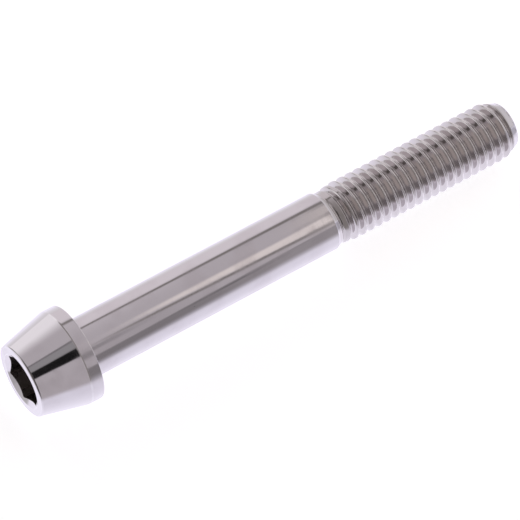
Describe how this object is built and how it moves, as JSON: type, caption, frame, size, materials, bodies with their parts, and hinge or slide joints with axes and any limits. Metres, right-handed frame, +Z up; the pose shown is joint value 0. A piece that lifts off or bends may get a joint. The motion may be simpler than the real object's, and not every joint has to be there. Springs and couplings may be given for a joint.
{
  "type": "tapered head socket screw",
  "caption": "Polished steel screw with a tapered head that widens towards its flat seat, a hexagon socket, a plain shank and a right-hand metric thread, lying on its side.",
  "frame": {"origin": "on the surface that the screw lies on, below the middle of its length", "axes": "+X from the head towards the point, +Z up. The screw's own axis lies in the XZ plane and dips 2.23 degrees towards the point, because the head's rim is wider than the thread"},
  "size_m": [0.0732, 0.0128, 0.0128],
  "materials": {
    "metal": "polished"
  },
  "bodies": {
    "root": {"screw": "metal"}
  },
  "joints": []
}
